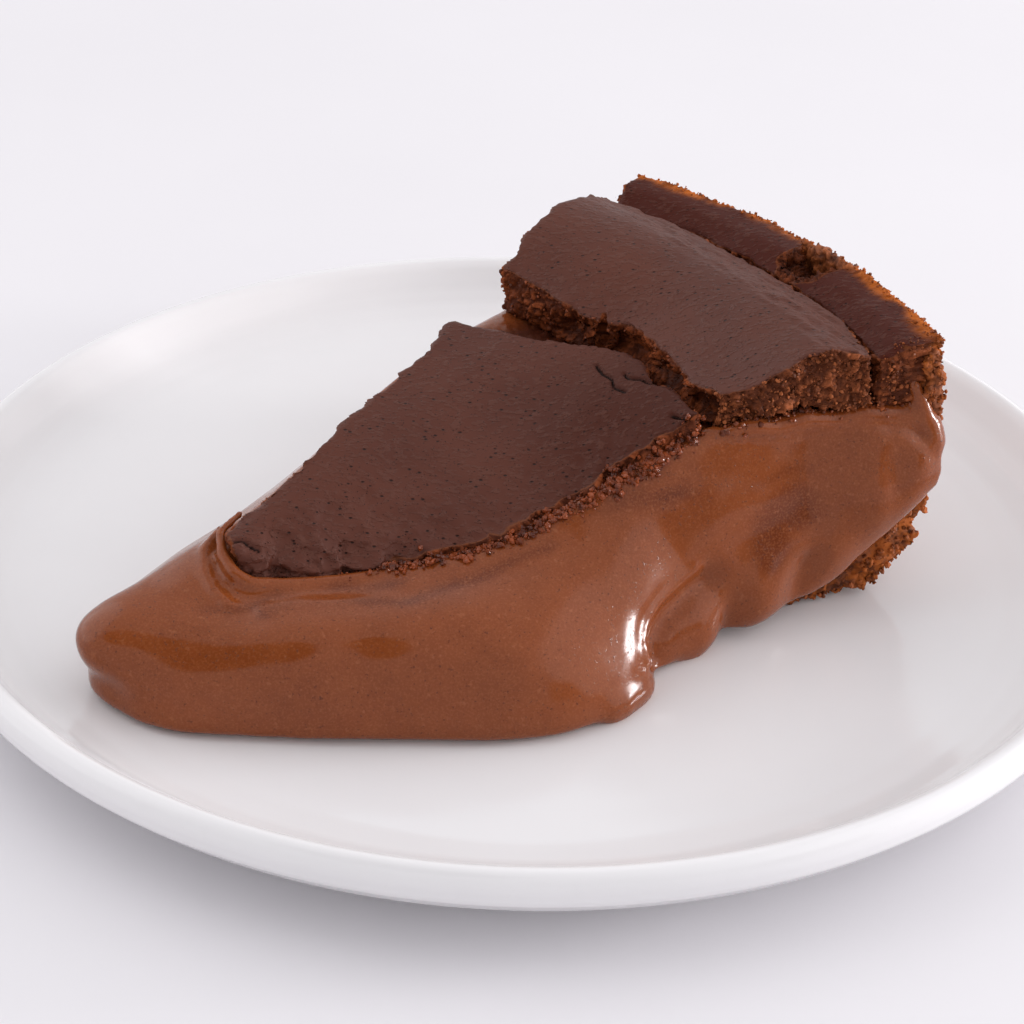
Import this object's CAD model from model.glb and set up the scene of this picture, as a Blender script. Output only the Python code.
# %% [markdown]
# # A slice of molten chocolate cake
# The cake was cut while its middle was still liquid. The filling ran out over the plate, and the
# baked top broke and slid down with it. This lesson dresses the measured solids: each step makes
# one piece finer than its solid, or mixes one finish, and the last ones light a white room.

# %% Load the frame
import math

import bmesh
import bpy
import numpy as np
from mathutils import Matrix, Vector


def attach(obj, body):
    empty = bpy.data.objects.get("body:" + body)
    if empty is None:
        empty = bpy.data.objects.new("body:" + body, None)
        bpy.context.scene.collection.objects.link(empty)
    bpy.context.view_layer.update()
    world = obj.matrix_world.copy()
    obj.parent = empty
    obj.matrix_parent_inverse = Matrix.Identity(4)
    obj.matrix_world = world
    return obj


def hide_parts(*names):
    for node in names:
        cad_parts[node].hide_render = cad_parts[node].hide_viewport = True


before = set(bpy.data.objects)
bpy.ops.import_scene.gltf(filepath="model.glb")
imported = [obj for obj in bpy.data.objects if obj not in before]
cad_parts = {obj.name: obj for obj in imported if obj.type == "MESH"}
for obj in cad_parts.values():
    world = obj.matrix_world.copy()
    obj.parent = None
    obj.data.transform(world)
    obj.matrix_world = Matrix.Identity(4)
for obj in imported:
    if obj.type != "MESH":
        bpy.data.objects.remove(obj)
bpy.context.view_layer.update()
MM = 0.001
print("nodes:", sorted(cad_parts))

# %% [markdown]
# ## Where things are on the slice
# A wedge is awkward in plain X and Y. So places on it are given as (s, t, z): s runs from the
# wedge's point along its middle to the crust, t runs across it with the near cut on the minus
# side, and z is the height above the plate's floor. One function turns them into the scene's
# own coordinates, and another goes back, for whole arrays at once, which is much faster.

# %% The slice's own coordinates
POINT = np.array([-45.0, -42.0, 8.5])
AXIS = math.radians(35.5)
TURN = np.array(
    [[math.cos(AXIS), math.sin(AXIS), 0], [-math.sin(AXIS), math.cos(AXIS), 0], [0, 0, 1]]
)


def to_world(places):
    """(s, t, z) in millimetres to world X, Y, Z in metres."""
    return (np.asarray(places, float) @ TURN + POINT) * MM


def to_slice(points):
    """World X, Y, Z in metres to (s, t, z) in millimetres."""
    return (np.asarray(points, float) / MM - POINT) @ TURN.T


print("the crust's rim is at", to_world([(118, 0, 50)]).round(4))

# %% [markdown]
# ## The camera
# The picture looks down at about 31 degrees with a long lens, from a little over 40 cm away. The
# lens, the height and the small tilt come from the plate: its rim is a circle, and only one
# camera turns a circle of this size into the ellipse that the picture shows.

# %% Place the camera
LENS = 84.375
DOWN = math.radians(30.62)
TILT = math.radians(1.77)
AWAY = 0.4235
aim = Vector((-0.00189, -0.00473, 0.018))
behind = Vector((0, -math.cos(DOWN), math.sin(DOWN)))
level_right = Vector((1, 0, 0))
level_up = level_right.cross(-behind)
cam_right = math.cos(TILT) * level_right + math.sin(TILT) * level_up
cam_up = math.cos(TILT) * level_up - math.sin(TILT) * level_right
lens = bpy.data.cameras.new("table_camera")
lens.lens, lens.sensor_width = LENS, 36.0
camera = bpy.data.objects.new("table_camera", lens)
turned = Matrix((cam_right, cam_up, behind)).transposed()
camera.matrix_world = Matrix.Translation(aim + behind * AWAY) @ turned.to_4x4()
bpy.context.scene.collection.objects.link(camera)
bpy.context.scene.camera = camera
print("camera at", tuple(round(c, 3) for c in camera.matrix_world.translation))

# %% [markdown]
# ## Tools for soft and crumbly food
# Food has few straight edges, so its pieces are shaped as a sculptor would. A solid is copied,
# rebuilt in even small cells, smoothed until its facets are gone, and then pushed in and out
# along its own normals. Where the food has a fold or a lip that the solid lacks, balls are
# strung along a line first, and the cells melt them into the rest.

# %% A fine copy of a solid
def applied(piece):
    """Applies every modifier of a piece."""
    bpy.context.view_layer.update()
    graph = bpy.context.evaluated_depsgraph_get()
    mesh = bpy.data.meshes.new_from_object(piece.evaluated_get(graph))
    piece.modifiers.clear()
    piece.data = mesh


def recast(piece, cell, smoothing):
    """Rebuilds a piece in even cells this many millimetres wide, and smooths it so many times."""
    cells = piece.modifiers.new("cells", "REMESH")
    cells.mode = "VOXEL"
    cells.voxel_size = cell * MM
    soft = piece.modifiers.new("soften", "SMOOTH")
    soft.factor, soft.iterations = 0.5, smoothing
    applied(piece)
    for face in piece.data.polygons:
        face.use_smooth = True
    print(piece.name, "has", 2 * len(piece.data.polygons), "triangles")
    return piece


def fine_copy(node, name, cell, smoothing):
    """A fine copy of a CAD node, in the scene as a piece of its own."""
    bm = bmesh.new()
    bm.from_mesh(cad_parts[node].data)
    bmesh.ops.remove_doubles(bm, verts=bm.verts, dist=0.00001)
    bmesh.ops.recalc_face_normals(bm, faces=bm.faces)
    mesh = bpy.data.meshes.new(name)
    bm.to_mesh(mesh)
    bm.free()
    piece = bpy.data.objects.new(name, mesh)
    bpy.context.scene.collection.objects.link(piece)
    return recast(piece, cell, smoothing)


# %% Balls along a line
def add_beads(piece, line, gap=0.5):
    """Strings balls closely along a line of (s, t, z, radius), for the next recast to melt in."""
    line = np.array(line, float)
    runs = np.linalg.norm(np.diff(line[:, :3], axis=0), axis=1)
    lengths = np.concatenate([[0.0], np.cumsum(runs)])
    stops = np.arange(0.0, lengths[-1], gap)
    bm = bmesh.new()
    for stop in stops:
        s, t, z, radius = (np.interp(stop, lengths, line[:, k]) for k in range(4))
        there = Matrix.Translation(to_world([(s, t, z)])[0])
        bmesh.ops.create_icosphere(bm, subdivisions=2, radius=radius * MM, matrix=there)
    bm.from_mesh(piece.data)
    bm.to_mesh(piece.data)
    bm.free()
    print(len(stops), "balls added to", piece.name)


# %% Read and move all points at once
def points_of(piece):
    """The piece's points as (s, t, z), and its normals turned the same way."""
    count = len(piece.data.vertices)
    places, normals = np.zeros(count * 3), np.zeros(count * 3)
    piece.data.vertices.foreach_get("co", places)
    piece.data.vertices.foreach_get("normal", normals)
    return to_slice(places.reshape(-1, 3)), normals.reshape(-1, 3) @ TURN.T


def put_back(piece, places):
    piece.data.vertices.foreach_set("co", to_world(places).ravel())
    piece.data.update()


def keep_mask(piece, name, values):
    """Stores a mask on the piece's points, for its material to read."""
    layer = piece.data.attributes.new(name, "FLOAT", "POINT")
    layer.data.foreach_set("value", np.asarray(values, np.float32))


def dress(piece, node):
    """Lets a piece stand for its CAD node and ride with it."""
    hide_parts(node)
    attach(piece, "root")


def step(low, high, value):
    """0 below low, 1 above high, and a smooth ramp between, for numbers or arrays."""
    u = np.clip((value - low) / (high - low), 0.0, 1.0)
    return u * u * (3 - 2 * u)


# %% [markdown]
# ## Noise for whole arrays
# Crumb needs many random numbers that stay the same each run. Here each small cube of space
# draws its own number from its place. Blending those draws gives smooth swells, and letting each
# cube hold one scattered point gives grains, each as far as its neighbours allow.

# %% Repeatable draws, swells and grains
# Large odd numbers without a pattern, which scramble a cell's place and a seed.
MIXERS = np.array([73856093, 19349663, 83492791])
SALT_MIXER, SCRAMBLER = 1013904223, 1274126177


def chance(cells, salt):
    """A repeatable draw from 0 to 1 for each whole-number cell."""
    mixed = (cells * MIXERS).sum(axis=-1) + (salt + 11) * SALT_MIXER
    mixed = ((mixed ^ (mixed >> 13)) * SCRAMBLER) & 0xFFFFFFFF
    return ((mixed ^ (mixed >> 15)) & 0xFFFF) / 0xFFFF


def swell(places, size, seed):
    """Smooth heights from -1 to 1, in lumps about this many millimetres wide."""
    spot = places / size + 0.37 * seed
    cell = np.floor(spot).astype(np.int64)
    u = spot - cell
    u = u * u * (3 - 2 * u)
    total = np.zeros(len(places))
    for corner in np.ndindex(2, 2, 2):
        share = np.prod(np.where(corner, u, 1 - u), axis=1)
        total += share * chance(cell + np.array(corner), seed)
    return 2.0 * total - 1.0


def nearest_points(places, size, seed):
    """Distances to the nearest and the next of scattered points, one to each cube of this size.

    The third result is a draw that belongs to the nearest point.
    """
    spot = places / size
    cell = np.floor(spot).astype(np.int64)
    first, second = np.full(len(places), 9.0), np.full(len(places), 9.0)
    draw = np.zeros(len(places))
    for offset in np.ndindex(3, 3, 3):
        cube = cell + np.array(offset) - 1
        point = cube + np.stack([chance(cube, seed * 7 + k) for k in range(3)], axis=1)
        away = np.linalg.norm(point - spot, axis=1)
        draw = np.where(away < first, chance(cube, seed * 7 + 3), draw)
        second = np.minimum(second, np.maximum(first, away))
        first = np.minimum(first, away)
    return first, second, draw


def bent(places, size, amount, seed):
    """The places pushed about by swells, which takes the regular look out of a pattern."""
    return places + amount * np.stack([swell(places, size, seed + k) for k in range(3)], axis=1)


print("two draws:", chance(np.array([[1, 2, 3], [1, 2, 4]]), 4).round(3))

# %% The brushes
def distance_to_line(places, line):
    """How far each place is from a line of points."""
    nearest = np.full(len(places), 1e9)
    for start, end in zip(line, line[1:]):
        start, run = np.array(start, float), np.array(end, float) - np.array(start, float)
        share = np.clip((places - start) @ run / (run @ run), 0.0, 1.0)
        away = np.linalg.norm(places - start - share[:, None] * run, axis=1)
        nearest = np.minimum(nearest, away)
    return nearest


def fade(distance, width=1.0):
    """1 where the distance is 0, falling off like a bell over this width."""
    return np.exp(-((distance / width) ** 2))


def stroke(places, normals, line, width, height):
    """Raises a ridge along a line, or cuts a groove where height is negative."""
    push = height * fade(distance_to_line(places, line), width)
    return places + normals * push[:, None]


def dab(places, normals, centre, radius, height):
    """Raises a round swelling, or a dimple where height is negative."""
    away = np.linalg.norm((places - np.array(centre)) / np.array(radius), axis=1)
    return places + normals * (height * fade(away))[:, None]


# A line drawn on a top face is found from above: its height counts for only a tenth.
FROM_ABOVE = np.array([1.0, 1.0, 0.1])


def drawn_line(places, line, width, wander):
    """The mask of a line drawn on a top face; wander bends it: size, amount and seed."""
    spots = bent(places, *wander) * FROM_ABOVE
    return fade(distance_to_line(spots, np.array(line) * FROM_ABOVE), width)


def chips(places, size, seed):
    """Flat-topped chips of this size, each with its own height from 0 to 1, parted by gaps."""
    near, following, tall = nearest_points(places, size, seed)
    return (0.15 + 0.85 * tall) * step(0.02, 0.25, following - near)


def crumb_heights(places, size, seed, where):
    """Heights of packed crumb, from about -1 to 1, for the places that a mask shows."""
    heights = np.zeros(len(places))
    shown = where > 0.01
    spots = bent(places[shown], 0.5 * size, 0.28 * size, seed)
    large, small = chips(spots, size, seed), chips(spots, 0.42 * size, seed + 5)
    heights[shown] = 0.85 * large + 0.65 * small - 0.75 + 0.35 * swell(spots, 2.6 * size, seed + 9)
    return heights


# %% [markdown]
# ## The molten filling
# The filling is a thick, glossy cream. It stands under the baked top, slumps out at the near cut
# and runs forward past the wedge's point in one blunt tongue. It could be poured in a fluid
# simulation, but a simulation never ends in one given shape. So the solid's flow is refined, and
# the folds where one tongue has run over another are brushed in one by one.

# %% Refine the flow
REGAINED = 0.42  # what the smoothing takes off all round, in millimetres
flow = fine_copy("molten_filling", "filling_flow", 0.75, 16)
places, normals = points_of(flow)
off_plate = step(0.4, 2.2, places[:, 2])
put_back(flow, places + normals * (REGAINED * off_plate)[:, None])

# %% [markdown]
# Cream has run up round the slab's tip and along the first third of its near side, as a smooth
# lip with a second fold outside it. At the near cut it has risen against the crumb of the rear
# slab, and a thin drip has run down the torn end of the wall. Each row below is one ball of a
# line: s, t, z and its radius.

# %% Add the lip, the collar, the ledge and the drip
SLAB_LIP = [
    (4.0, 7.6, 24.6, 0.7), (-0.6, 6.0, 23.4, 0.9), (-2.2, 2.6, 21.6, 1.2),
    (-2.2, -1.2, 19.9, 1.4), (-0.6, -3.6, 18.6, 1.5), (3.0, -5.4, 18.0, 1.5),
    (7.0, -7.2, 17.8, 1.5), (12.4, -9.6, 17.8, 1.4), (18.0, -11.8, 18.3, 1.1),
    (23.0, -13.6, 19.1, 0.8),
]
COLLAR = [
    (0.6, 8.8, 22.2, 0.6), (-3.4, 6.6, 20.6, 0.9), (-5.4, 2.8, 19.2, 1.0), (-6.0, -1.4, 17.8, 1.1),
    (-5.2, -5.2, 16.6, 1.2), (-2.4, -8.4, 15.9, 0.8),
]
LEDGE = [
    (76.0, -29.4, 36.2, 1.2), (80.0, -30.4, 36.4, 1.7), (84.0, -31.4, 35.6, 1.9),
    (89.0, -32.8, 36.2, 2.0), (94.0, -34.2, 35.4, 2.0), (99.0, -36.0, 35.9, 2.2),
    (106.0, -38.9, 35.0, 2.4), (109.4, -40.6, 33.6, 2.8), (109.8, -41.4, 30.6, 3.0),
    (109.0, -41.6, 27.6, 2.6),
]
WALL_DRIP = [
    (106.6, -38.7, 41.6, 0.9), (107.0, -39.2, 40.4, 1.2), (107.4, -39.6, 39.0, 1.5),
    (108.0, -40.2, 36.8, 1.9), (108.6, -40.6, 34.6, 2.3),
]
for line in (SLAB_LIP, COLLAR, LEDGE, WALL_DRIP):
    add_beads(flow, line)
recast(flow, 0.62, 4)
places, normals = points_of(flow)
print("the flow is", (places.max(0) - places.min(0)).round(1), "mm")

# %% [markdown]
# The tongues overlap where the flow leaves the slice at its near side. Each fold is a thin
# crest with a hollow beside it, and the drips that hang over the base are swellings with dents
# between them. The lobe at the end of the first tongue spreads a little at its foot.

# %% Brush in the folds
FOLD_CREST = [
    (66.3, -34.7, 15.1), (63.8, -34.8, 14.3), (61.0, -35.5, 13.1), (57.7, -36.1, 12.2),
    (55.4, -36.8, 11.2), (53.4, -37.9, 9.8), (51.9, -39.5, 7.9), (51.9, -40.5, 5.9),
]
FOLD_HOLLOW = [
    (67.7, -35.3, 13.3), (64.7, -35.6, 12.4), (62.0, -36.0, 11.3), (59.2, -36.5, 10.2),
    (57.2, -37.0, 8.8), (55.5, -38.1, 7.2), (55.0, -39.0, 4.0),
]
LOBE_FOOT = [(43.0, -45.2, 1.2), (46.4, -44.2, 1.2), (50.0, -42.6, 1.2), (52.6, -40.4, 1.2)]
places = stroke(places, normals, FOLD_HOLLOW, 3.0, -2.1)
places = stroke(places, normals, FOLD_CREST, 1.4, 0.9)
places = stroke(places, normals, LOBE_FOOT, 2.8, 1.1)
# Each drip or dent: its centre, its radius each way, and its height.
DRIPS = [
    ((66.0, -36.5, 4.0), (4.5, 3.0, 4.5), 1.7),
    ((71.6, -35.2, 4.0), (2.2, 3.0, 4.0), -1.2),
    ((77.7, -37.5, 7.0), (4.6, 4.0, 6.0), 1.9),
    ((85.0, -38.5, 8.6), (2.6, 3.0, 4.0), -1.2),
    ((87.4, -38.8, 12.5), (2.2, 3.0, 2.4), -1.1),
    ((92.0, -39.8, 12.0), (4.2, 4.0, 6.0), 1.1),
    ((74.0, -35.6, 20.0), (6.0, 5.0, 5.0), -0.9),
    ((82.0, -37.2, 25.0), (6.0, 5.0, 4.0), 0.8),
    ((101.0, -43.0, 26.0), (2.2, 4.0, 6.0), -0.8),
    ((106.0, -44.5, 29.0), (2.6, 4.0, 6.0), 0.8),
    ((-24.0, 5.0, 11.5), (4.0, 6.0, 3.6), 1.5),
    ((-24.5, 2.0, 5.5), (3.0, 7.0, 2.6), -1.1),
]
for centre, radius, height in DRIPS:
    places = dab(places, normals, centre, radius, height)
print(len(DRIPS), "drips and dents")

# %% [markdown]
# Long slow ridges follow the way the cream has run, and swells a centimetre wide bend the
# reflections, as on any poured cream.

# %% Ridges and swells
# Each ridge: its line, width and height.
RIDGES = [
    ([(-1.0, -9.0, 15.8), (7.0, -13.4, 16.2), (16.0, -18.0, 16.8)], 1.8, 0.35),
    (
        [(-12.7, -6.1, 14.6), (-4.0, -13.0, 14.6), (8.0, -21.0, 15.0), (24.0, -28.0, 16.0)],
        4.0, 0.6,
    ),
    ([(20.0, -20.0, 18.4), (34.0, -24.0, 20.4), (46.0, -27.0, 23.0)], 2.4, -0.3),
]
for line, width, height in RIDGES:
    places = stroke(places, normals, line, width, height)
off_plate = step(0.4, 2.2, places[:, 2])
slow = 0.24 * swell(places, 12.0, 3) + 0.10 * swell(places, 5.0, 6)
places = places + normals * (off_plate * slow)[:, None]
print(len(RIDGES), "ridges, and swells up to", slow.max().round(2), "mm")

# %% [markdown]
# Between the two slabs the top tore open. The cream there is full of torn crumb, and a deep
# crack runs along the rear slab's foot. The mask `torn` marks it for the finish; it ends where
# the filling turns down at its sides.

# %% Tear the filling between the slabs
CRACK_FLOOR = [
    (60.0, 14.5, 37.0), (66.0, 9.0, 36.8), (71.0, 5.0, 36.6), (74.2, 0.0, 36.4),
    (74.4, -8.0, 36.4), (73.8, -16.0, 36.4), (73.2, -24.0, 36.4),
]
s, t, z = places.T
torn = step(50.0, 57.0, s) * step(82.0, 78.0, s) * step(-27.0, -23.0, t)
torn = torn * step(34.8, 36.4, z) * step(24.0, 15.0, t + 2.0 * swell(places, 4.0, 45))
places = stroke(places, normals, CRACK_FLOOR, 1.8, -4.5)
places = places + normals * (0.8 * torn * crumb_heights(places, 2.0, 41, torn))[:, None]
keep_mask(flow, "torn", torn)
print(f"{(torn > 0.5).mean():.1%} of the flow's points are torn")

# %% [markdown]
# Cream that hasn't mixed shows as darker orange streaks along the flow, and as a dark patch of
# two ovals where it is thin over the base. The mask `seep` holds them; swells bend their edges.

# %% Streaks and the dark patch
STREAKS = [
    [
        (-2.0, -9.6, 16.4), (9.4, -16.0, 17.0), (19.0, -20.4, 18.4), (31.0, -23.0, 20.0),
        (43.0, -24.0, 23.0),
    ],
    [(-9.0, -4.6, 15.4), (2.0, -8.4, 17.0), (12.0, -12.4, 18.0), (22.0, -15.4, 19.0)],
    [(48.0, -24.6, 26.0), (60.0, -28.4, 27.0), (74.0, -31.4, 27.0), (90.0, -35.0, 28.0)],
]
OVALS = [((80.0, -36.9, 17.0), (4.6, 4.0, 5.6)), ((85.0, -36.3, 22.4), (6.6, 4.0, 4.0))]
wander = bent(places, 7.0, 1.6, 57)
seep = np.zeros(len(places))
for line in STREAKS:
    seep = np.maximum(seep, 0.9 * fade(distance_to_line(wander, line), 1.3))
for centre, radius in OVALS:
    away = np.linalg.norm((wander - np.array(centre)) / np.array(radius), axis=1)
    seep = np.maximum(seep, 0.8 * step(1.35, 0.55, away))
keep_mask(flow, "seep", seep * (0.85 + 0.15 * swell(places, 5.0, 59)))
print(f"{(seep > 0.5).mean():.1%} of them are streaked")

# %% [markdown]
# Where the cream meets the porcelain it wets it: the last millimetre thins out into a clearer,
# orange edge. The lowest points are pushed outwards and down onto the plate, and a mask called
# `thin` remembers how thin the cream is there.

# %% Wet the plate
SPREAD = 1.6
low = np.exp(-np.maximum(places[:, 2], 0.0) / 0.9)
side = normals.copy()
side[:, 2] = 0.0
places = places + side * (SPREAD * low)[:, None]
places[:, 2] -= 0.45 * step(1.4, 0.2, places[:, 2])
keep_mask(flow, "thin", low)
put_back(flow, places)
dress(flow, "molten_filling")
print("lowest point", places[:, 2].min().round(2), "mm from the plate's floor")

# %% [markdown]
# ## The baked top
# The top baked to a thin matt skin over a dense crumb. It broke into a front slab that slid
# forward, a thick rear slab, and a strip that still clings to the crust. From above they are
# smooth with fine pores, their outlines are ragged, and their broken sides are wet crumb. The
# same brushes do all three: swells shift the edges sideways, and crumb covers what faces
# sideways or down.

# %% A broken edge for any slab
def break_edges(piece, ragged, amount, size, seed, extra=None):
    """Roughens a slab's outline and its broken sides; extra is a mask of more broken skin.

    The outline shifts by ragged, and crumb of this size stands out from the sides by amount.
    """
    places, normals = points_of(piece)
    edge = step(0.97, 0.6, normals[:, 2])
    wide, narrow = bent(places, 3.4, ragged, seed), bent(places, 1.3, 0.5 * ragged, seed + 4)
    shift = wide + narrow - 2 * places
    shift[:, 2] *= 0.3
    broken = step(0.72, 0.40, normals[:, 2])
    if extra is not None:
        broken = np.maximum(broken, extra(places))
    places = places + shift * edge[:, None]
    heights = crumb_heights(places, size, seed, broken)
    keep_mask(piece, "tips", np.clip(0.5 + 0.5 * heights, 0, 1))
    return places + normals * (broken * amount * heights)[:, None], normals, broken


# %% [markdown]
# The front slab is thin and bends over the flow. Short cracks opened near its rear corner when
# it bent, and one at its tip; its far corner broke to a point. Its first third sits in the
# cream, so no crumb shows there. The mask `crack` darkens the cracks, and `damp` the skin near
# the flow, which soaked up some of it.

# %% The front slab
front = fine_copy("front_slab", "front_crust", 0.36, 4)
places, normals, broken = break_edges(front, 1.1, 0.75, 1.8, 11)
in_cream = step(26.0, 18.0, places[:, 0]) * step(2.0, -2.0, places[:, 1] + 0.3 * places[:, 0])
places = places - normals * (0.5 * in_cream * broken)[:, None]
broken = broken * (1 - in_cream)
wet_side = broken * step(-2.0, -6.0, places[:, 1] + 0.3 * places[:, 0])
places = places + normals * (0.7 * wet_side)[:, None]
CRACKS = [
    [
        (67.2, -3.4, 39.3), (66.6, -5.6, 39.2), (66.9, -8.0, 39.3), (65.9, -10.2, 39.2),
        (66.3, -12.6, 39.3),
    ],
    [(68.9, -8.8, 39.9), (68.6, -10.6, 39.8), (69.7, -12.4, 40.1), (70.2, -14.6, 40.1)],
    [(68.3, -23.0, 38.5), (69.0, -24.8, 38.8), (70.3, -26.6, 38.7)],
    [(-1.4, 1.6, 23.0), (0.6, 0.8, 22.8), (2.4, -1.4, 22.0)],
]
CRACK_WIDTH, CRACK_DEPTH = 0.26, 0.9
from_corner = np.linalg.norm((places - np.array([53.0, 19.0, 40.0])) / 2.2, axis=1)
places = places + fade(from_corner)[:, None] * np.array([0.5, 1.5, 0.3])
depth = np.zeros(len(places))
for line in CRACKS:
    depth = np.maximum(depth, drawn_line(places, line, CRACK_WIDTH, (1.4, 0.18, 51)))
depth = depth * (1 - broken)
places = places - normals * (CRACK_DEPTH * depth)[:, None]
places = places + normals * (0.08 * swell(places, 14.0, 8) + 0.03 * swell(places, 2.6, 9))[:, None]
keep_mask(front, "broken", broken)
keep_mask(front, "crack", depth)
keep_mask(front, "damp", step(34.0, 64.0, places[:, 0]) * step(8.0, -12.0, places[:, 1]))
put_back(front, places)
dress(front, "front_slab")
print(len(CRACKS), "cracks in the front slab")

# %% [markdown]
# The rear slab is thicker. Its broken lip shows a dense, wet crumb that overhangs the crack, and
# a large pale chunk of crumb bulges from its near side. Towards the wall its skin is wrinkled
# where it bends down into the crease.

# %% The rear slab
UNDERCUT = [
    (71.0, 10.0, 39.6), (75.4, 5.4, 39.2), (76.6, -2.6, 38.8), (75.8, -12.0, 38.6),
    (74.8, -24.0, 38.6),
]
rear = fine_copy("rear_slab", "rear_crust", 0.38, 3)
places, normals, broken = break_edges(rear, 0.6, 0.7, 1.8, 23)
near_side = step(-23.0, -27.0, places[:, 1]) * broken
places[:, 2] += near_side * step(39.5, 37.0, places[:, 2])
lumps = near_side * (0.9 * swell(places, 4.2, 29) + 0.8 * chips(places, 1.3, 37) - 0.3)
places = places + normals * lumps[:, None]
places = stroke(places, normals, UNDERCUT, 2.0, -2.8)
reach = np.hypot(places[:, 0], places[:, 1])
wrinkled = step(92.0, 101.0, reach) * (1 - broken)
long_ones = swell(places * (1.0, 0.3, 1.0), 1.3, 17)
wrinkles = long_ones + 0.6 * swell(places * (1.0, 0.4, 1.0), 0.7, 19)
soft_lift = 0.32 * wrinkled * wrinkles + 0.06 * (1 - broken) * swell(places, 3.0, 6)
places = places + normals * soft_lift[:, None]
keep_mask(rear, "broken", broken)
keep_mask(rear, "pale", near_side * step(33.0, 38.0, places[:, 2]))
put_back(rear, places)
dress(rear, "rear_slab")

# %% [markdown]
# The strip beside the wall sagged when the middle sank. It keeps a burst crater near its
# middle, with a dark hole along its inner side, and its near end is torn crumb. Its skin runs
# on over the wall's rim nearly to the outer edge, where it baked golden; the solids end it at
# the wall, so it is stretched outwards.

# %% The strip along the wall
strip = fine_copy("rim_strip", "wall_strip", 0.38, 3)
HOLE = [(110.8, -1.6, 46.0), (110.2, -4.4, 46.0), (110.8, -7.4, 46.0)]


def in_crater(places):
    """The mask of the burst bubble beside the wall."""
    angle, reach = math.radians(-2.6), 112.6
    centre = np.array([reach * math.cos(angle), reach * math.sin(angle), 48.0])
    return step(6.1, 5.3, np.linalg.norm(bent(places, 2.6, 1.1, 91) - centre, axis=1))


places, normals, broken = break_edges(strip, 0.35, 0.8, 2.0, 31, in_crater)
hole = drawn_line(places, HOLE, 1.1, (1.6, 0.5, 93)) * in_crater(places)
torn_lumps = in_crater(places) * (1 - hole) * 0.6 * chips(places, 1.5, 95)
soft_lift = 0.25 * swell(places, 6.0, 15) * (1 - broken)
places = places + normals * (soft_lift + torn_lumps - 2.0 * hole)[:, None]
reach = np.hypot(places[:, 0], places[:, 1])
ragged = 3.7 + 0.6 * swell(places, 2.4, 41) + 0.35 * swell(places, 1.0, 43)
stretched = 1 + ragged * step(110.6, 113.6, reach) * (1 - in_crater(places)) / reach
places[:, :2] *= stretched[:, None]
reach = reach * stretched
gold = step(115.0, 117.2, reach + 1.5 * swell(places, 5.0, 77) + 0.6 * swell(places, 1.2, 78))
places = places + normals * (0.55 * gold * crumb_heights(places, 1.5, 33, gold))[:, None]
keep_mask(strip, "broken", broken)
keep_mask(strip, "rim", np.ones(len(places)))
keep_mask(strip, "gold", gold)
keep_mask(strip, "crack", np.maximum(0.42 * in_crater(places), 0.9 * hole))
keep_mask(strip, "pale", 0.35 * step(-33.0, -36.0, places[:, 1]))
put_back(strip, places)
dress(strip, "rim_strip")
print("the skin now reaches out to", reach.max().round(1), "mm")

# %% [markdown]
# ## The crumb crust
# The base and the wall are pressed biscuit crumb. The cut faces and the outside show packed
# crumb with browned tips, golden along the rim and at the foot. The rim is pressed down a
# little, except beside the crater, so that the strip's skin lies over it. The masks remember
# the height of the crumb and where it is golden.

# %% Press the crumbs
PRESSED = 1.5
crust = fine_copy("crumb_crust", "biscuit_crust", 0.53, 2)
places, normals = points_of(crust)
reach = np.hypot(places[:, 0], places[:, 1])
shown = 1 - step(114.6, 113.0, reach) * step(6.0, 8.0, places[:, 2])
height = shown * crumb_heights(places, 2.4, 2, shown)
places = places + normals * (0.9 * height)[:, None]
beside_crater = step(9.0, 6.0, np.abs(places[:, 1] + 5.0))
places[:, 2] -= PRESSED * step(44.0, 48.5, places[:, 2]) * (1 - beside_crater)
places[:, 2] = np.maximum(places[:, 2], 0.02)
keep_mask(crust, "tips", np.clip(0.5 + 0.5 * height, 0, 1))
foot = 0.65 * step(84.0, 96.0, reach) * step(30.0, 22.0, places[:, 2])
rim = step(40.0, 46.0, places[:, 2]) * (1 - 0.8 * beside_crater)
keep_mask(crust, "golden", np.maximum(rim, foot))
put_back(crust, places)
dress(crust, "crumb_crust")
print("crumb stands out up to", height.max().round(2), "mm")

# %% [markdown]
# ## Loose crumbs
# Relief alone can't overhang, and real crumb does. So some thousands of loose crumbs are stuck
# on where the crumb shows: on the torn chunk, the cut base, the rim and the wet edges. A few
# crumbs are modelled as badly dented balls with flat sides, and arrays copy, turn and squash
# them, which makes one mesh that still has true sizes. The smallest have the fewest sides.

# %% A few crumbs
def crumb_shape(seed, detail):
    """The corners of one crumb about 2 across, from -1 to 1, and its faces."""
    bm = bmesh.new()
    bmesh.ops.create_icosphere(bm, subdivisions=detail, radius=1.0)
    corners = np.array([v.co for v in bm.verts])
    faces = np.array([[v.index for v in f.verts] for f in bm.faces])
    bm.free()
    dents = 0.40 * swell(corners, 0.8, seed) + 0.26 * swell(corners, 0.4, seed + 3)
    return corners * (0.85 + dents)[:, None], faces


COARSE = [crumb_shape(seed, 1) for seed in range(61, 69)]
FINE = [crumb_shape(seed, 2) for seed in range(71, 76)]
DRAW = np.random.default_rng(7)
print(len(COARSE), "coarse and", len(FINE), "fine crumbs to copy")


def pick_spots(piece, weight, count):
    """Random points of a piece, more of them where the weight is high, with their normals."""
    places, normals = points_of(piece)
    chosen = weight(places, normals) + 1e-9
    spots = DRAW.choice(len(places), count, p=chosen / chosen.sum())
    return places[spots], normals[spots]


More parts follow.
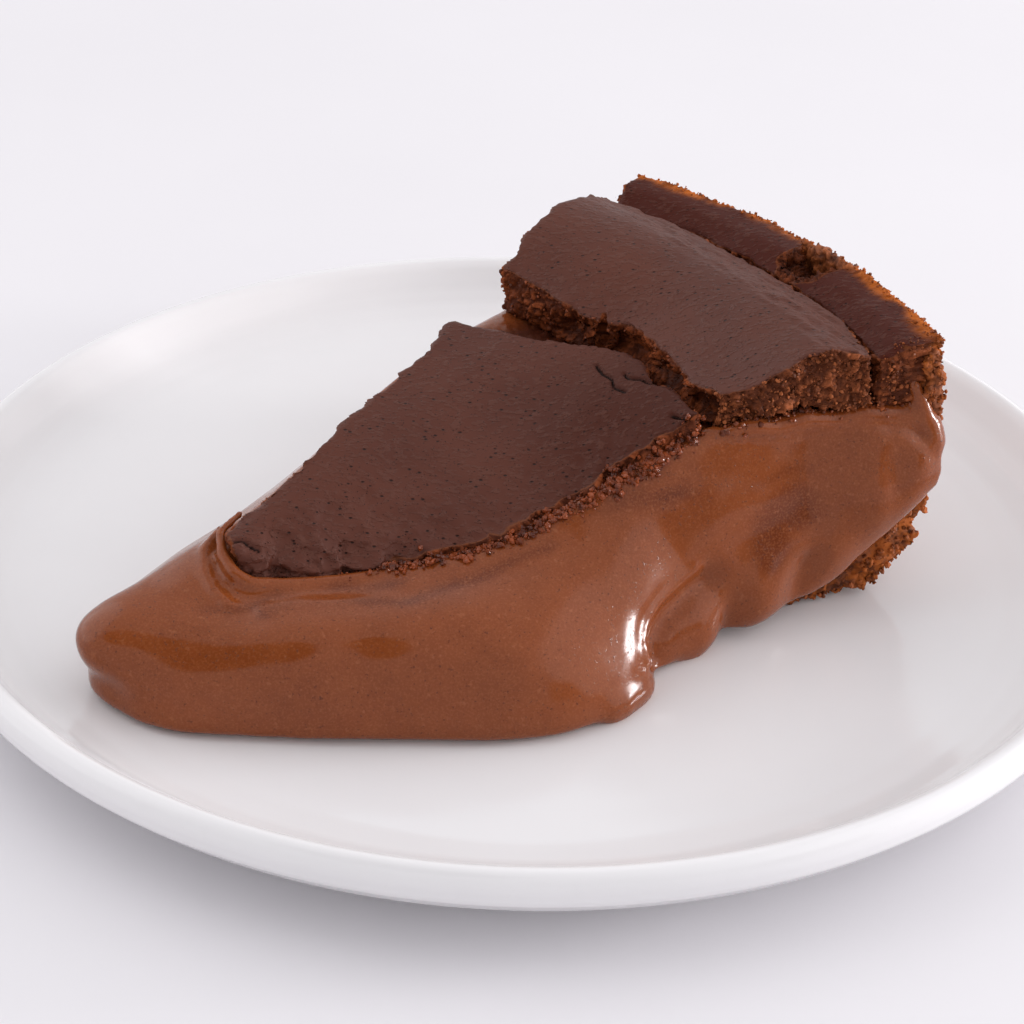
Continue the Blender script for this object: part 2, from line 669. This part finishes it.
def turns(count):
    """Random rotations as matrices."""
    q = DRAW.normal(size=(count, 4))
    w, x, y, z = (q / np.linalg.norm(q, axis=1)[:, None]).T
    rows = [
        1 - 2 * (y * y + z * z), 2 * (x * y - z * w), 2 * (x * z + y * w),
        2 * (x * y + z * w), 1 - 2 * (x * x + z * z), 2 * (y * z - x * w),
        2 * (x * z - y * w), 2 * (y * z + x * w), 1 - 2 * (x * x + y * y),
    ]
    return np.stack(rows, axis=1).reshape(-1, 3, 3)


# %% Where they stick
# Each function gives the weight of every point of a piece, from its place and its normal.
SLAB_FOOT = [
    (13.5, -9.4, 18.4), (19.6, -11.8, 19.1), (27.3, -15.0, 19.8), (35.1, -18.0, 21.2),
    (43.3, -20.4, 23.3), (49.9, -22.4, 25.8), (56.6, -24.0, 29.4), (63.0, -26.0, 33.0),
    (69.6, -27.6, 36.8),
]


def near_cut(places, normals):
    return step(0.3, 0.7, -normals[:, 1]) * step(84.0, 92.0, places[:, 0]) * (places[:, 2] < 49)


def rim_edge(places, normals):
    reach = np.hypot(places[:, 0], places[:, 1])
    return step(115.8, 117.6, reach) * step(43.0, 46.0, places[:, 2]) * (normals[:, 2] > -0.3)


def chunk_side(places, normals):
    return step(-24.0, -27.0, places[:, 1]) * step(0.75, 0.4, normals[:, 2]) * (places[:, 2] > 34)


def torn_end(places, normals):
    return step(-36.0, -38.0, places[:, 1])


def slab_side(places, normals):
    near = step(-2.0, -6.0, places[:, 1] + 0.3 * places[:, 0]) * step(20.0, 28.0, places[:, 0])
    return near * step(0.6, 0.3, normals[:, 2])


def slab_foot(places, normals):
    away = distance_to_line(places, SLAB_FOOT)
    return fade(away, 1.2) * step(12.0, 26.0, places[:, 0])


def ledge_top(places, normals):
    away = distance_to_line(places, [(s, t + 0.6, z + 1.8) for s, t, z, radius in LEDGE[:7]])
    return fade(away, 1.2)


def lip_side(places, normals):
    return step(0.6, 0.3, normals[:, 2]) * step(80.0, 78.0, places[:, 0]) * (places[:, 2] > 38)


# %% Stick them on
# Each kind of place: piece, weight, how many, smallest and largest radius, how golden and wet.
PLACINGS = [
    (crust, near_cut, 800, 0.2, 0.8, 0.75, 0.0),
    (crust, rim_edge, 300, 0.15, 0.5, 1.0, 0.0),
    (strip, rim_edge, 900, 0.12, 0.45, 1.0, 0.0),
    (rear, chunk_side, 1100, 0.1, 0.52, 0.08, 0.0),
    (strip, torn_end, 350, 0.15, 0.5, 0.2, 0.25),
    (front, slab_side, 900, 0.15, 0.7, 0.1, 1.0),
    (flow, slab_foot, 1500, 0.2, 0.75, 0.1, 1.0),
    (flow, ledge_top, 260, 0.15, 0.6, 0.0, 0.9),
    (rear, lip_side, 350, 0.15, 0.45, 0.0, 0.8),
]
STANDS_OUT = 0.35  # how many radii a crumb's middle stands out of the surface
corners, faces, masks = [], [], []
total = 0
for piece, weight, count, smallest, largest, golden, wet in PLACINGS:
    spots, normals = pick_spots(piece, weight, count)
    radii = smallest + (largest - smallest) * DRAW.random(count) ** 2.4
    squash = DRAW.uniform(0.65, 1.25, (count, 1, 3))
    spins = turns(count)
    tones = DRAW.uniform(0.1, 0.85, count)
    for i in range(count):
        kinds = FINE if radii[i] > 0.5 else COARSE
        shape, sides = kinds[i % len(kinds)]
        turned = (shape * squash[i]) @ spins[i].T * radii[i]
        corners.append(turned + spots[i] + normals[i] * radii[i] * STANDS_OUT)
        faces.append(sides + total)
        total += len(shape)
        masks.append(np.tile((tones[i], golden * (0.4 + 0.6 * tones[i]), wet), (len(shape), 1)))
mesh = bpy.data.meshes.new("loose_crumbs")
mesh.from_pydata(to_world(np.concatenate(corners)), [], np.concatenate(faces).tolist())
scatter = bpy.data.objects.new("loose_crumbs", mesh)
bpy.context.scene.collection.objects.link(scatter)
for name, values in zip(("tips", "golden", "wet"), np.concatenate(masks).T):
    keep_mask(scatter, name, values)
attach(scatter, "root")
print(len(corners), "loose crumbs,", len(mesh.polygons), "triangles")

# %% [markdown]
# ## The plate
# A dessert plate is thrown or pressed as a turned shape, so it is made here as one: a profile
# from the middle out over the rim and back underneath, spun once round. The profile's corners
# are rounded first by a bevel, because glaze leaves no sharp edge.

# %% Turn the plate
# The profile's corners: distance from the middle and height above the table.
PROFILE = [
    (0.0, 8.5), (50.0, 8.5), (78.0, 8.52), (86.0, 8.8), (91.4, 9.5), (95.4, 10.9), (98.2, 12.9),
    (100.0, 15.0), (101.4, 16.9), (103.0, 17.9), (104.6, 17.3), (105.5, 15.2), (105.0, 12.4),
    (101.5, 8.6), (92.0, 5.2), (76.0, 3.4), (66.0, 2.6), (64.0, 0.0), (59.0, 0.0), (57.6, 3.0),
    (0.0, 3.4),
]
bm = bmesh.new()
ring = [bm.verts.new((r * MM, 0.0, z * MM)) for r, z in PROFILE]
for start, end in zip(ring, ring[1:]):
    bm.edges.new((start, end))
bmesh.ops.bevel(
    bm, geom=ring[1:-1], offset=1.4 * MM, segments=5, profile=0.5, affect="VERTICES", material=-1,
    clamp_overlap=True,
)
bmesh.ops.spin(
    bm, geom=bm.verts[:] + bm.edges[:], cent=(0, 0, 0), axis=(0, 0, 1), angle=2 * math.pi,
    steps=224, use_merge=True,
)
bmesh.ops.remove_doubles(bm, verts=bm.verts, dist=0.000005)
bmesh.ops.recalc_face_normals(bm, faces=bm.faces)
mesh = bpy.data.meshes.new("dessert_plate")
bm.to_mesh(mesh)
bm.free()
for face in mesh.polygons:
    face.use_smooth = True
dish = bpy.data.objects.new("dessert_plate", mesh)
bpy.context.scene.collection.objects.link(dish)
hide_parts("plate")
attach(dish, "root")
print("plate:", len(mesh.polygons), "faces")

# %% [markdown]
# ## Finishes
# Each finish is a Principled shader with small node networks in front of it. Effects that
# several foods share are built once as a node group: `pits` makes fine open pores, and
# `mottle` makes slow patches of lighter and darker colour and a few small specks. Colours are
# given as linear red, green and blue.

# %% Helpers for node trees
def link(tree, source, target):
    tree.links.new(source, target)


def add(tree, kind, **settings):
    """Adds a node; settings that name an input give its value, and others are properties."""
    made = tree.nodes.new(kind)
    for key, value in settings.items():
        if key in made.bl_rna.properties:
            setattr(made, key, value)
        else:
            made.inputs[key.title()].default_value = value
    return made


def finish(name):
    """An empty material: its tree, its shader and its Object coordinates."""
    made = bpy.data.materials.new(name)
    made.use_nodes = True
    tree = made.node_tree
    shader = tree.nodes["Principled BSDF"]
    where = tree.nodes.new("ShaderNodeTexCoord").outputs["Object"]
    return made, tree, shader, where


def blend(tree, share, low, high):
    """A colour that goes from low to high by a share; each is a colour or a socket."""
    mix = tree.nodes.new("ShaderNodeMix")
    mix.data_type = "RGBA"
    for socket, value in ((mix.inputs[0], share), (mix.inputs[6], low), (mix.inputs[7], high)):
        if isinstance(value, bpy.types.NodeSocket):
            tree.links.new(value, socket)
        elif isinstance(value, tuple):
            socket.default_value = (*value, 1.0)
        else:
            socket.default_value = value
    return mix.outputs[2]


def ramp(tree, value, low, high, out_low=0.0, out_high=1.0):
    """A smooth step of a value from one range to another."""
    made = tree.nodes.new("ShaderNodeMapRange")
    made.interpolation_type = "SMOOTHSTEP"
    tree.links.new(value, made.inputs["Value"])
    for name, number in (
        ("From Min", low), ("From Max", high), ("To Min", out_low), ("To Max", out_high)
    ):
        made.inputs[name].default_value = number
    return made.outputs["Result"]


def calc(tree, operation, first, second):
    """One sum of two numbers; each is a number or a socket."""
    made = tree.nodes.new("ShaderNodeMath")
    made.operation = operation
    for socket, value in zip(made.inputs, (first, second)):
        if isinstance(value, bpy.types.NodeSocket):
            tree.links.new(value, socket)
        else:
            socket.default_value = value
    return made.outputs[0]


def tint(tree, colour, value, most, towards):
    """The colour moved towards another by a value from 0 to 1, at most by this share."""
    return blend(tree, calc(tree, "MULTIPLY", value, most), colour, towards)


def bumps(tree, shader, height, distance, strength=1.0):
    """Bumps on the shader's normal, this many metres high."""
    bump = tree.nodes.new("ShaderNodeBump")
    bump.inputs["Distance"].default_value = distance
    bump.inputs["Strength"].default_value = strength
    tree.links.new(height, bump.inputs["Height"])
    tree.links.new(bump.outputs["Normal"], shader.inputs["Normal"])


def gloss(tree, shader, share, usual, other, full=1.0):
    """The specular level: the usual one, or another where a mask is full."""
    level = shader.inputs["Specular IOR Level"]
    level.default_value = usual
    link(tree, ramp(tree, share, 0.0, full, usual, other), level)


def lay_on(made, *pieces):
    """Gives the finish to its pieces."""
    for piece in pieces:
        piece.data.materials.append(made)
    print(made.name, "has", len(made.node_tree.nodes), "nodes")


def mask(tree, name):
    """A mask that was kept on the piece's points."""
    made = tree.nodes.new("ShaderNodeAttribute")
    made.attribute_name = name
    return made.outputs["Fac"]


# %% The shared groups
def group(name, numbers, results):
    """A node group with a Place vector, named numbers and named results."""
    made = bpy.data.node_groups.new(name, "ShaderNodeTree")
    made.interface.new_socket("Place", in_out="INPUT", socket_type="NodeSocketVector")
    for label, value in numbers.items():
        socket = made.interface.new_socket(label, in_out="INPUT", socket_type="NodeSocketFloat")
        socket.default_value = value
    for label in results:
        made.interface.new_socket(label, in_out="OUTPUT", socket_type="NodeSocketFloat")
    return made, made.nodes.new("NodeGroupInput"), made.nodes.new("NodeGroupOutput")


PITS, enter, leave = group("pits", {"Density": 900.0, "Width": 0.3, "Share": 0.5}, ["Pit"])
cells = add(PITS, "ShaderNodeTexVoronoi")
link(PITS, enter.outputs["Place"], cells.inputs["Vector"])
link(PITS, enter.outputs["Density"], cells.inputs["Scale"])
inside = calc(PITS, "LESS_THAN", cells.outputs["Distance"], enter.outputs["Width"])
edge = calc(PITS, "SUBTRACT", enter.outputs["Width"], cells.outputs["Distance"])
deep = calc(PITS, "DIVIDE", edge, enter.outputs["Width"])
chosen = add(PITS, "ShaderNodeSeparateColor")
link(PITS, cells.outputs["Color"], chosen.inputs[0])
open_one = calc(PITS, "LESS_THAN", chosen.outputs[0], enter.outputs["Share"])
hollow = calc(PITS, "MULTIPLY", calc(PITS, "MULTIPLY", inside, deep), open_one)
link(PITS, hollow, leave.inputs["Pit"])

MOTTLE, enter, leave = group("mottle", {"Scale": 60.0}, ["Patch", "Speck"])
patches = add(MOTTLE, "ShaderNodeTexNoise", detail=4.0)
link(MOTTLE, enter.outputs["Place"], patches.inputs["Vector"])
link(MOTTLE, enter.outputs["Scale"], patches.inputs["Scale"])
specks = add(MOTTLE, "ShaderNodeTexNoise", detail=2.0)
link(MOTTLE, enter.outputs["Place"], specks.inputs["Vector"])
link(MOTTLE, calc(MOTTLE, "MULTIPLY", enter.outputs["Scale"], 22.0), specks.inputs["Scale"])
link(MOTTLE, ramp(MOTTLE, patches.outputs["Fac"], 0.3, 0.7), leave.inputs["Patch"])
link(MOTTLE, ramp(MOTTLE, specks.outputs["Fac"], 0.62, 0.74), leave.inputs["Speck"])
print("groups:", [g.name for g in bpy.data.node_groups])


def use(tree, made, where, **values):
    """Places a group in a material with its own values."""
    node = tree.nodes.new("ShaderNodeGroup")
    node.node_tree = made
    tree.links.new(where, node.inputs["Place"])
    for label, value in values.items():
        node.inputs[label].default_value = value
    return node.outputs


# %% [markdown]
# ## Molten chocolate
# A wet, milky brown cream full of cocoa specks and tiny bubbles. Light gets a few tenths of a
# millimetre into it, so it has a little subsurface. Its gloss is smooth but weak, and its thin
# edge on the plate turns orange. Where it is full of torn crumb it is darker.

# %% The molten finish
CREAM, MILKIER = (0.178, 0.040, 0.0085), (0.215, 0.050, 0.0115)
CLOUDY, SEEPING = (0.245, 0.062, 0.0165), (0.098, 0.0170, 0.0025)
SANDY, COCOA = (0.30, 0.088, 0.030), (0.078, 0.017, 0.005)
FROTH, BUBBLE = (0.32, 0.105, 0.042), (0.05, 0.012, 0.005)
TORN, THIN = (0.055, 0.013, 0.006), (0.46, 0.115, 0.014)
molten, tree, shader, where = finish("molten_chocolate")
tone = use(tree, MOTTLE, where, Scale=45.0)
fine_tone = use(tree, MOTTLE, where, Scale=300.0)
bubbles = use(tree, PITS, where, Density=1500.0, Width=0.16, Share=0.25)
colour = blend(tree, tone["Patch"], CREAM, MILKIER)
colour = tint(tree, colour, fine_tone["Patch"], 0.35, CLOUDY)
colour = tint(tree, colour, mask(tree, "seep"), 0.95, SEEPING)
sand = add(tree, "ShaderNodeTexNoise", scale=2900.0, detail=1.0)
link(tree, where, sand.inputs["Vector"])
sands = ramp(tree, sand.outputs["Fac"], 0.42, 0.72)
colour = tint(tree, colour, sands, 0.38, SANDY)
sandy = use(tree, MOTTLE, where, Scale=95.0)
colour = tint(tree, colour, sandy["Speck"], 0.75, COCOA)
colour = tint(tree, colour, tone["Speck"], 0.4, FROTH)
colour = tint(tree, colour, bubbles["Pit"], 0.6, BUBBLE)
colour = blend(tree, mask(tree, "torn"), colour, TORN)
colour = blend(tree, ramp(tree, mask(tree, "thin"), 0.3, 0.95), colour, THIN)
link(tree, colour, shader.inputs["Base Color"])
smooth = ramp(tree, fine_tone["Patch"], 0.0, 1.0, 0.11, 0.17)
rough = calc(tree, "ADD", smooth, calc(tree, "MULTIPLY", mask(tree, "torn"), 0.35))
link(tree, rough, shader.inputs["Roughness"])
gloss(tree, shader, mask(tree, "torn"), 0.29, 0.1, full=0.6)
shader.inputs["Subsurface Weight"].default_value = 0.12
shader.inputs["Subsurface Radius"].default_value = (1.0, 0.35, 0.15)
shader.inputs["Subsurface Scale"].default_value = 0.0012
grain = calc(tree, "SUBTRACT", calc(tree, "MULTIPLY", sandy["Speck"], 0.5), bubbles["Pit"])
bumps(tree, shader, grain, 0.00007, 0.6)
lay_on(molten, flow)

# %% [markdown]
# ## The baked skin
# The skin is nearly black-brown and matt, with fine pores and a soft sheen where light grazes
# it. Short ripples run over it like the grain of leather, so their noise is stretched one way.
# Where it broke, redder wet crumb shows, and the torn lip is thin enough to look orange-brown.
# The masks say where the skin is `broken`, `damp` or cracked, where its crumb is `pale`, and
# where it belongs to the strip at the `rim` and its browned, `gold` edge.

# %% The skin finish
SKIN, LIGHTER = (0.086, 0.0235, 0.0138), (0.108, 0.0315, 0.0186)
DAMP, BY_THE_RIM = (0.056, 0.0125, 0.0065), (0.064, 0.0115, 0.0060)
RIPPLE, PORE = (0.125, 0.05, 0.035), (0.022, 0.006, 0.0035)
LIP, CRACK, BROWNED = (0.20, 0.058, 0.018), (0.016, 0.004, 0.002), (0.50, 0.128, 0.020)
# Broken crumb, from its hollows to its tips.
WET = ((0.066, 0.014, 0.005), (0.350, 0.086, 0.027))
PALE = ((0.090, 0.022, 0.008), (0.400, 0.115, 0.042))
skin, tree, shader, where = finish("baked_top")
tone = use(tree, MOTTLE, where, Scale=55.0)
fine_tone = use(tree, MOTTLE, where, Scale=260.0)
stretch = add(tree, "ShaderNodeMapping")
stretch.inputs["Rotation"].default_value = (0.0, 0.0, 0.2)
stretch.inputs["Scale"].default_value = (0.55, 1.0, 1.0)
link(tree, where, stretch.inputs["Vector"])
pores = use(tree, PITS, stretch.outputs["Vector"], Density=900.0, Width=0.2, Share=0.75)
dots = use(tree, PITS, where, Density=1500.0, Width=0.2, Share=0.9)
leather = add(tree, "ShaderNodeTexNoise", scale=1200.0, detail=2.0)
link(tree, stretch.outputs["Vector"], leather.inputs["Vector"])
ripple = ramp(tree, leather.outputs["Fac"], 0.48, 0.66)
broken = mask(tree, "broken")
dark = blend(tree, tone["Patch"], SKIN, LIGHTER)
dark = tint(tree, dark, mask(tree, "damp"), 0.8, DAMP)
dark = blend(tree, mask(tree, "rim"), dark, BY_THE_RIM)
dark = tint(tree, dark, ripple, 0.3, RIPPLE)
holes = calc(tree, "MAXIMUM", pores["Pit"], calc(tree, "MULTIPLY", dots["Pit"], 0.7))
dark = blend(tree, ramp(tree, holes, 0.02, 0.55), dark, PORE)
share = ramp(tree, mask(tree, "tips"), 0.15, 0.85)
share = calc(tree, "MULTIPLY", share, ramp(tree, fine_tone["Patch"], -0.6, 0.9))
torn = blend(tree, mask(tree, "pale"), blend(tree, share, *WET), blend(tree, share, *PALE))
lip = ramp(tree, calc(tree, "ABSOLUTE", calc(tree, "SUBTRACT", broken, 0.4), 0.0), 0.32, 0.05)
colour = blend(tree, ramp(tree, broken, 0.3, 0.7), dark, torn)
colour = tint(tree, colour, lip, 0.55, LIP)
colour = blend(tree, ramp(tree, mask(tree, "crack"), 0.25, 0.8), colour, CRACK)
gold = calc(tree, "MULTIPLY", mask(tree, "gold"), ramp(tree, fine_tone["Patch"], -0.4, 0.8))
colour = blend(tree, gold, colour, BROWNED)
link(tree, colour, shader.inputs["Base Color"])
dull = calc(tree, "MAXIMUM", mask(tree, "rim"), broken)
dull = calc(tree, "MAXIMUM", dull, calc(tree, "MULTIPLY", mask(tree, "damp"), 0.6))
gloss(tree, shader, dull, 0.21, 0.08)
matt = ramp(tree, tone["Patch"], 0.0, 1.0, 0.44, 0.56)
wet = ramp(tree, fine_tone["Patch"], 0.2, 0.8, 0.32, 0.6)
rough = blend(tree, ramp(tree, broken, 0.3, 0.7), matt, wet)
link(tree, rough, shader.inputs["Roughness"])
relief = calc(tree, "SUBTRACT", calc(tree, "MULTIPLY", ripple, 0.48), holes)
gritty = calc(tree, "MULTIPLY", fine_tone["Speck"], calc(tree, "MULTIPLY", broken, 0.8))
relief = calc(tree, "ADD", relief, gritty)
bumps(tree, shader, relief, 0.00030, 0.9)
lay_on(skin, front, rear, strip)

# %% [markdown]
# ## Biscuit crumb
# The crumbs are brown in their hollows and lighter at their tips, golden along the rim where
# the oven browned them, and dark and wet where the cream touches them. The masks `tips`,
# `golden` and `wet` were kept when the crumb was made.

# %% The crumb finish
# Dry and wet crumb, each from its darker to its lighter places.
BISCUIT = ((0.075, 0.0175, 0.0055), (0.43, 0.128, 0.045))
SOAKED = ((0.070, 0.013, 0.0045), (0.28, 0.060, 0.016))
BUTTERY, HOLLOW = (0.160, 0.042, 0.014), (0.03, 0.010, 0.005)
crumb, tree, shader, where = finish("crumb")
tone = use(tree, MOTTLE, where, Scale=110.0)
fine_tone = use(tree, MOTTLE, where, Scale=420.0)
pores = use(tree, PITS, where, Density=900.0, Width=0.4, Share=0.5)
colour = blend(tree, ramp(tree, mask(tree, "tips"), 0.15, 0.85), *BISCUIT)
colour = tint(tree, colour, tone["Patch"], 0.4, BUTTERY)
gold = calc(tree, "MULTIPLY", mask(tree, "golden"), ramp(tree, fine_tone["Patch"], 0.1, 0.8))
colour = blend(tree, gold, colour, BROWNED)
colour = blend(tree, mask(tree, "wet"), colour, blend(tree, fine_tone["Patch"], *SOAKED))
colour = tint(tree, colour, pores["Pit"], 0.8, HOLLOW)
link(tree, colour, shader.inputs["Base Color"])
dry = ramp(tree, fine_tone["Patch"], 0.0, 1.0, 0.45, 0.75)
link(tree, blend(tree, mask(tree, "wet"), dry, (0.2, 0.2, 0.2)), shader.inputs["Roughness"])
gloss(tree, shader, mask(tree, "wet"), 0.16, 0.3)
bumps(tree, shader, calc(tree, "SUBTRACT", fine_tone["Patch"], pores["Pit"]), 0.00025, 0.9)
lay_on(crumb, crust, scatter)

# %% [markdown]
# ## White glaze
# Porcelain under clear glaze is bright, faintly warm and very smooth. Its glaze pools in slow
# waves that only show in the reflections, and a few specks are fired into it.

# %% The porcelain finish
glaze, tree, shader, where = finish("porcelain")
tone = use(tree, MOTTLE, where, Scale=14.0)
fine_tone = use(tree, MOTTLE, where, Scale=90.0)
colour = blend(tree, tone["Patch"], (0.80, 0.79, 0.80), (0.84, 0.83, 0.84))
colour = tint(tree, colour, fine_tone["Speck"], 0.03, (0.5, 0.47, 0.44))
link(tree, colour, shader.inputs["Base Color"])
link(tree, ramp(tree, tone["Patch"], 0.0, 1.0, 0.10, 0.15), shader.inputs["Roughness"])
shader.inputs["IOR"].default_value = 1.52
bumps(tree, shader, tone["Patch"], 0.00012, 0.15)
lay_on(glaze, dish)

# %% [markdown]
# ## Table and light
# The plate stands on a pale table in a white room that lights it softly from all sides. The
# room is brighter to the right and behind on the left, where its windows are, and a little
# darker above the viewer, which gives the gloss some dark patches with clear edges. The panes
# of a low window at the right leave the bright mark at the end of the flow.

# %% The table
TABLE_HALF = 20.0  # metres, so that its edge never shows
bm = bmesh.new()
bmesh.ops.create_grid(bm, x_segments=1, y_segments=1, size=TABLE_HALF)
mesh = bpy.data.meshes.new("table_top")
bm.to_mesh(mesh)
bm.free()
table = bpy.data.objects.new("table_top", mesh)
bpy.context.scene.collection.objects.link(table)
white, tree, shader, where = finish("table_white")
tone = use(tree, MOTTLE, where, Scale=6.0)
colour = blend(tree, tone["Patch"], (0.80, 0.785, 0.81), (0.82, 0.805, 0.83))
link(tree, colour, shader.inputs["Base Color"])
shader.inputs["Roughness"].default_value = 0.6
lay_on(white, table)


# %% The lights
def pane_of_light(place, target, size, watts, colour):
    """A square soft light at a place, turned to face a target, in metres."""
    light = bpy.data.lights.new("side_pane", "AREA")
    light.shape = "RECTANGLE"
    light.size = light.size_y = size
    light.energy, light.color = watts, colour
    made = bpy.data.objects.new("side_pane", light)
    made.location = Vector(place)
    made.rotation_euler = (Vector(target) - Vector(place)).to_track_quat("-Z", "Y").to_euler()
    bpy.context.scene.collection.objects.link(made)


# The side window's panes: two across and two up, with a bar between them.
PANE, BAR = 0.08, 0.015
AWAY_RIGHT, BACK, UP = 0.85, 0.10, 0.13
LOBE = (0.02, -0.03, 0.02)
for column in (-1, 1):
    for row in (-1, 1):
        off_centre = (PANE + BAR) / 2
        place = (AWAY_RIGHT, BACK + column * off_centre, UP + row * off_centre)
        pane_of_light(place, LOBE, PANE, 1.0, (1.0, 0.975, 0.985))
print("a low window of four panes,", round(2 * PANE + BAR, 3), "m wide")

# %% The room
bpy.context.scene.view_settings.view_transform = "Standard"
room = bpy.data.worlds.new("white_room")
bpy.context.scene.world = room
room.use_nodes = True
tree = room.node_tree
sky = tree.nodes["Background"]
way = tree.nodes.new("ShaderNodeTexCoord").outputs["Generated"]
walls = (0.86, 0.85, 0.87)
# Each patch: compass angle and height above the table in degrees, radius in degrees, radiance.
PATCHES = [
    (0, 18, 46, 1.55),
    (158, 28, 40, 1.60),
    (-118, 56, 19, 0.10),
    (-42, 2, 15, 0.30),
]
for compass, height, radius, radiance in PATCHES:
    flat = math.cos(math.radians(height))
    toward = (
        flat * math.cos(math.radians(compass)), flat * math.sin(math.radians(compass)),
        math.sin(math.radians(height)),
    )
    nearness = tree.nodes.new("ShaderNodeVectorMath")
    nearness.operation = "DOT_PRODUCT"
    nearness.inputs[1].default_value = toward
    link(tree, way, nearness.inputs[0])
    rim = math.cos(math.radians(radius))
    core = math.cos(math.radians(0.82 * radius))
    share = ramp(tree, nearness.outputs["Value"], rim, core)
    walls = blend(tree, share, walls, (radiance, 0.985 * radiance, 1.005 * radiance))
link(tree, walls, sky.inputs["Color"])
sky.inputs["Strength"].default_value = 1.0
print(len(PATCHES), "patches of light and shade in the room")
